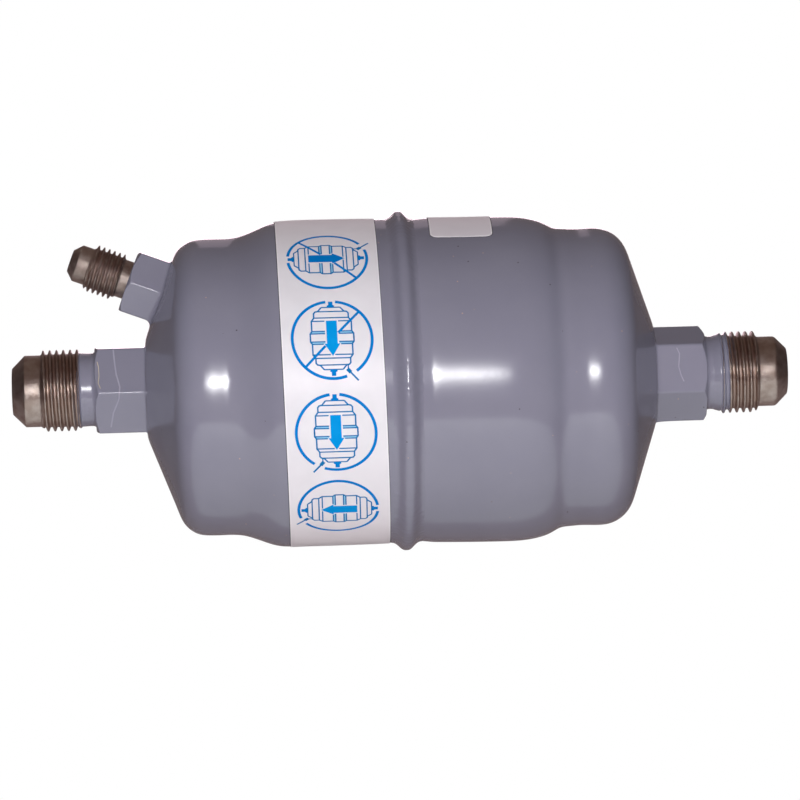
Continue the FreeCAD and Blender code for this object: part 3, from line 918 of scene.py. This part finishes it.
def label_ring(name, finish, start, end, inner, outer, *nodes):
    """Thin ring that follows the outlet shell between two places on the axis."""
    along = np.linspace(start, end, max(2, math.ceil((end - start) / 0.9) + 1))
    skin = np.interp(-along, outlet_skin[:, 0], outlet_skin[:, 1])
    section = list(zip(along, skin + outer)) + list(zip(along[::-1], (skin + inner)[::-1]))
    ring = turned_piece(name, section + section[:1], finish, label_segments, placement=leaning)
    return settle(bowed(ring), "label_film", *nodes)


label = label_ring("wound_label_film", label_film, left, right, film_adhesive, film_top, "mounting_label")
# A whiter strip along each cut edge is a painted highlight, and a dark strip just outside each edge is a
# painted shadow.
edge, over = 0.24, 0.02
label_ring("label_left_cut_edge", edge_highlight_film, left - over, left + edge, film_adhesive, film_top + 0.01)
label_ring("label_right_cut_edge", edge_highlight_film, right - edge, right + over, film_adhesive, film_top + 0.01)
# Dark strips just outside both edges are a painted shadow.
label_ring("label_left_dust", edge_shadow_paint, left - 0.2, left, 0.0, 0.05)
label_ring("label_right_dust", edge_shadow_paint, right, right + 0.16, 0.0, 0.05)


def pictogram_shapes(slashed):
    """Mounting position sign: a broken ring, a vessel, and an arrow that shows the gas flow."""
    back, end = -0.3, 7.35
    ring_radius, ring_line, slash_line, outer_line, inner_line = 9.1, 0.68, 0.57, 0.35, 0.29
    marks = {"ring": [], "arrow": [], "line": [], "stripe": []}
    for first, last in ((35.0, 173.0), (187.0, 379.0)):
        marks["ring"].append(stroke(arc_points(ring_radius, first, last), ring_line))
    if slashed:
        for first, last in ((-6.45, -1.45), (1.6, 6.45)):
            marks["ring"].append(stroke(divided((first, -first), (last, -last)), slash_line))

    marks["arrow"].append(flat_patch(back - 4.05, back + 1.4, -1.23, 1.23, 7, 3))
    head, faces = flat_patch(0, 1, -1, 1, 6, 4)
    marks["arrow"].append(([(back + 1.4 + 2.88 * x, 1.8 * y * (1.004 - x)) for x, y in head], faces))

    # One quarter of the vessel's outline, and the lines that cross it.
    half = [(end, 2.15), (6.35, 3.0), (6.25, 3.6), (5.85, 3.95), (4.75, 3.95), (3.95, 4.55), (1.5, 4.55),
            (0.95, 4.95), (0.0, 4.95)]
    crossings = [(6.3, 3.1), (4.75, 3.95), (3.95, 4.55), (1.5, 4.55), (0.95, 4.95)]
    for side in (-1, 1):
        foot = back + side * end
        neck = [(foot, -0.72), (foot + side * 0.38, -0.92), (foot + side * 0.62, -0.5),
                (foot + side * 1.45, -0.5)]
        marks["ring"].append((neck + [(x, -y) for x, y in neck], [(0, 1, 5, 4), (1, 2, 6, 5), (2, 3, 7, 6)]))
        for way in (-1, 1):
            corners = [(back + side * x, way * y) for x, y in half]
            marks["line"].append(stroke(polyline(corners), outer_line))
            low, high = sorted((way * 1.6, way * 4.6))
            near, far = sorted((back + side * 1.07, back + side * 1.38))
            marks["stripe"].append(flat_patch(near, far, low, high, 1, 5))
        marks["line"].append(stroke(divided((foot, -2.15), (foot, 2.15)), inner_line))
        for at, reach in crossings:
            beside_arrow = -4.4 < side * at < 4.0
            clear = 1.55 if side * at < 1.2 else 1.95 if side * at < 3.0 else 0.5
            for way in (-1, 1):
                start = (back + side * at, way * (clear if beside_arrow else 0.0))
                marks["line"].append(stroke(divided(start, (back + side * at, way * reach)), inner_line))

    # The oil return: its tube, its hexagon and its foot.
    for first, last, width in (((8.0, 3.75), (9.95, 5.55), 0.4), ((7.25, 3.1), (8.1, 3.85), 0.85)):
        run = divided((back + first[0], first[1]), (back + last[0], last[1]))
        marks["line"].append(stroke(run, width))
    return_foot = [(back + 6.2, 2.9), (back + 6.5, 3.35), (back + 7.2, 3.3)]
    marks["line"].append(stroke(polyline(return_foot), inner_line))
    return marks


def placed_shapes(shapes, turn, mirrored, along, round_body):
    """Flat shapes mirrored, turned and moved to their place on the film."""
    cosine, sine = math.cos(math.radians(turn)), math.sin(math.radians(turn))
    moved = []
    for vertices, faces in shapes:
        flipped = [(x, -y) for x, y in vertices] if mirrored else vertices
        turned_round = [(along + x * cosine - y * sine, round_body + x * sine + y * cosine)
                        for x, y in flipped]
        moved.append((turned_round, faces))
    return moved


layouts = [(0.0, False, True), (-90.0, False, True), (-90.0, True, False), (180.0, False, False)]
inks = {"ring": ring_ink, "arrow": arrow_ink, "line": line_ink, "stripe": stripe_ink}
printed = {kind: [] for kind in inks}
for (turn, mirrored, slashed), angle, shift in zip(layouts, pictogram_turns, pictogram_shifts):
    for kind, shapes in pictogram_shapes(slashed).items():
        colour = "ring" if kind == "arrow" and turn == 0.0 else kind
        printed[colour] += placed_shapes(shapes, turn, mirrored, label_centre + shift,
                                         math.radians(angle) * body_radius)
lifts = {"stripe": 0.0, "line": 0.004, "ring": 0.008, "arrow": 0.006}
for kind, shapes in printed.items():
    print_layer = wrapped_piece(f"label_print_{kind}", shapes, inks[kind], label, ink_thickness,
                                lifts[kind] - 0.002, label_skew)
    settle(print_layer, "label_film")

# Sticker

def rounded_patch(width, length, corner, centre, round_body, grow=0.0):
    """Rectangle with round corners as strips along its length."""
    half_width, half_length = width / 2 + grow, length / 2 + grow
    corner += grow
    columns = 9
    bends = [half_length - corner + corner * math.sin(math.radians(a)) for a in range(0, 91, 15)]
    straight = list(np.linspace(-half_length + corner, half_length - corner, 34))[1:-1]
    rows = sorted([-y for y in bends] + straight + bends)
    vertices = []
    for y in rows:
        over = max(0.0, abs(y) - (half_length - corner))
        reach = half_width - corner + math.sqrt(max(corner ** 2 - over ** 2, 0.0))
        vertices += [(centre + reach * share, round_body + y) for share in np.linspace(-1, 1, columns)]
    return vertices, cell_faces(len(rows), columns)


sticker_place = math.radians(sticker_turn) * body_radius
sticker_size = (sticker_width, sticker_length, sticker_corner, sticker_centre, sticker_place)
# The sticker's base is the whiter edge film and its face sits 0.28 mm inside it, so a painted highlight runs
# round the border.
sticker = wrapped_piece("wrapped_sticker_film", [rounded_patch(*sticker_size)], edge_highlight_film, inlet_drawn,
                        film_thickness, film_adhesive)
settle(sticker, "sticker_film", "data_sticker")
sticker_face = wrapped_piece("sticker_face", [rounded_patch(*sticker_size, -0.28)], sticker_film, sticker,
                             ink_thickness, -0.003)
settle(sticker_face, "sticker_film")
# A dark strip just outside the sticker's edge is a painted shadow.
sticker_shadow_rim = wrapped_piece("sticker_edge_dust", [rounded_patch(*sticker_size, 0.18)], edge_shadow_paint,
                             inlet_drawn, 0.04, 0.01)
settle(sticker_shadow_rim, "sticker_film")

# Stage, light and camera

def looked_at(new):
    """Light path, and 1 for what is seen, mirrored or seen through, 0 for light that falls on things."""
    path = new.node("LightPath").outputs
    seen = new.reckon("MAXIMUM", path["Is Camera Ray"], path["Is Glossy Ray"])
    return path, new.reckon("MAXIMUM", seen, path["Is Transmission Ray"])


def floor_paper():
    """Pale floor. It keeps the object's shadow, and is clear from below for views from there."""
    new = Finish("pale_floor_paper")
    path, seen = looked_at(new)
    paper = new.put("BsdfDiffuse", {"Color": linear("#F4F3F2")})
    # In gloss the paper is dimmer, as the photo's reflections show it.
    level = new.carried(path["Is Camera Ray"], (0.0, 1.0), (0.12, 0.42))
    glow = new.put("Emission", {"Color": linear("#FFFFFF"), "Strength": level})
    lit = new.put("AddShader", {0: paper, 1: glow})
    shown = new.put("MixShader", {0: seen, 1: paper, 2: lit})
    below = new.node("NewGeometry").outputs["Backfacing"]
    return new.close(new.put("MixShader", {0: below, 1: shown, 2: new.put("BsdfTransparent")}))


def dark_room():
    """Unlit room round the table, darker overhead and at both sides, which only gloss shows."""
    new = Finish("dim_room_walls")
    where = new.parts(new.place)
    walls = new.ramp(new.carried(where[2], (-2.0, 2.7), (0.0, 1.0)),
                     [(0.2, "#857777"), (0.5, "#776A6B"), (0.95, "#63554F")])
    sides = new.carried(where[2], (-1.8, -0.3), (0.9, 0.3))
    dimmed = new.carried(new.reckon("ABSOLUTE", where[0]), (0.6, 2.2), (1.0, sides))
    return new.close(new.put("Emission", {"Color": walls, "Strength": dimmed}))


def pale_card(level):
    """Even glow of a card or a cloth, behind the table or beside the lens."""
    new = Finish("pale_card")
    return new.close(new.put("Emission", {"Color": linear("#B4A2AA"), "Strength": level}))


def lamp_cloth():
    """Cloths over the lamps beside the lens, brightest far left, fading out to the right."""
    new = Finish("lamp_cloth")
    where = new.parts(new.place)
    shade = new.ramp(new.carried(where[0], (-0.133, 0.117), (0.0, 1.0)), [
        (0.06, "#000000"), (0.12, "#606060"), (0.18, "#FFFFFF"), (0.28, "#FFFFFF"), (0.36, "#BCBCBC"),
        (0.70, "#BCBCBC"), (0.736, "#929292"), (0.756, "#767676"), (0.784, "#5D5D5D"), (0.82, "#525252"),
        (0.864, "#4A4A4A"), (0.908, "#3C3C3C"), (0.936, "#2C2C2C"), (0.98, "#000000")])
    # The light fades above and below the lamps and has long faint tails.
    lamp_height, spread, brightest = 0.08, 0.13, 36.0
    share = new.reckon("DIVIDE", new.reckon("SUBTRACT", where[2], lamp_height), spread)
    fading = new.reckon("POWER", new.reckon("ADD", new.reckon("MULTIPLY", share, share), 1.0), -2.0)
    glow = new.put("Emission", {
        "Color": shade, "Strength": new.reckon("MULTIPLY", fading, brightest)})
    return new.close(new.put("AddShader", {0: glow, 1: new.put("BsdfTransparent")}))


def stage_mesh(name, vertices, faces, finish, only_in_gloss=False):
    """Piece of the stage. Some pieces are left to reflections alone."""
    piece = mesh_object(name, vertices, [], faces)
    piece.data.materials.append(finish)
    if only_in_gloss:
        for way in ("camera", "diffuse", "shadow", "transmission", "volume_scatter"):
            setattr(piece, f"visible_{way}", False)
    return piece


def gloss_sheet(name, y, left, right, low, high, finish):
    """Upright rectangle across the view, which only gloss shows."""
    corners = [(left, y, low), (right, y, low), (right, y, high), (left, y, high)]
    stage_mesh(name, corners, [(0, 1, 2, 3)], finish, only_in_gloss=True)


paper = floor_paper()
around = np.linspace(0, math.tau, rim_points + 1)[:-1]
rim = [(table_radius * math.cos(a), table_centre + table_radius * math.sin(a), floor_height) for a in around]
far_rim = [(floor_reach * math.cos(a), floor_reach * math.sin(a), floor_height) for a in around]
stage_mesh("table_paper", rim, [list(range(rim_points))], paper)
surround = stage_mesh("floor_paper", rim + far_rim, [
    (n, rim_points + n, rim_points + (n + 1) % rim_points, (n + 1) % rim_points)
    for n in range(rim_points)], paper)
surround.visible_glossy = False

room = stage_mesh("dim_room", [], [], dark_room(), only_in_gloss=True)
room_form = bmesh.new()
bmesh.ops.create_icosphere(room_form, subdivisions=5, radius=room_radius)
bmesh.ops.reverse_faces(room_form, faces=room_form.faces)
room_form.to_mesh(room.data)
room_form.free()
gloss_sheet("back_card", 1.5, -0.135, 0.135, 0.13, 1.35, pale_card(1.0))
gloss_sheet("side_card", -1.3, 0.13, 0.21, 0.24, 0.44, pale_card(1.0))
gloss_sheet("back_lamp_cloth", 1.27, -0.2, 0.2, 0.0, 0.3, pale_card(6.0))
gloss_sheet("lamp_cloths", -1.27, -0.133, 0.117, -0.35, 0.6, lamp_cloth())


def lamp(name, place, width, height, level, shape="ELLIPSE"):
    """Flat lamp whose light on a face turned to it, at the vessel's centre, is that level."""
    data = bpy.data.lights.new(name, "AREA")
    data.shape = shape
    data.size, data.size_y = width, height
    towards = Vector() - Vector(place)
    data.energy = level * math.pi ** 2 * towards.length ** 2
    shown = bpy.data.objects.new(name, data)
    shown.location = place
    shown.rotation_euler = towards.to_track_quat("-Z", "Y").to_euler()
    shown.visible_glossy = False
    shown.visible_camera = False
    bpy.context.scene.collection.objects.link(shown)


lamp("front_flash", (-0.07, -1.28, 0.13), 0.036, 0.03, 0.8)
lamp("back_fill", (0.1, 1.35, 0.0), 0.3, 0.3, 0.35)
lamp("back_softbox", (0.0, 1.7, 1.2), 1.4, 0.9, 0.2, "RECTANGLE")

# White surround for the eye, which lights the object only a little.
world = bpy.data.worlds.new("white_surround")
bpy.context.scene.world = world
world.use_nodes = True
sky = Nodes(world.node_tree)
strength = sky.carried(looked_at(sky)[1], (0.0, 1.0), (0.04, 1.0))
sky.node("OutputWorld", {
    "Surface": sky.put("Background", {"Color": linear("#FFFFFF"), "Strength": strength})})

yaw, roll = math.radians(camera_yaw), math.radians(camera_roll)
forward = Vector((math.sin(yaw), math.cos(yaw), 0))
level_right = Vector((math.cos(yaw), -math.sin(yaw), 0))
upright = Vector((0, 0, 1))
image_right = level_right * math.cos(roll) - upright * math.sin(roll)
image_up = level_right * math.sin(roll) + upright * math.cos(roll)
eye = -forward * camera_distance - image_right * camera_left - image_up * camera_down
lens = bpy.data.cameras.new("photograph_view")
lens.sensor_width = 36.0
lens.lens = lens_length
lens.clip_start, lens.clip_end = 0.05, 20.0
camera = bpy.data.objects.new("photograph_view", lens)
turned_to = Matrix((image_right, image_up, -forward)).transposed()
camera.matrix_world = Matrix.Translation(eye) @ turned_to.to_4x4()
bpy.context.scene.collection.objects.link(camera)
bpy.context.scene.camera = camera
bpy.context.scene.view_settings.view_transform = "Standard"
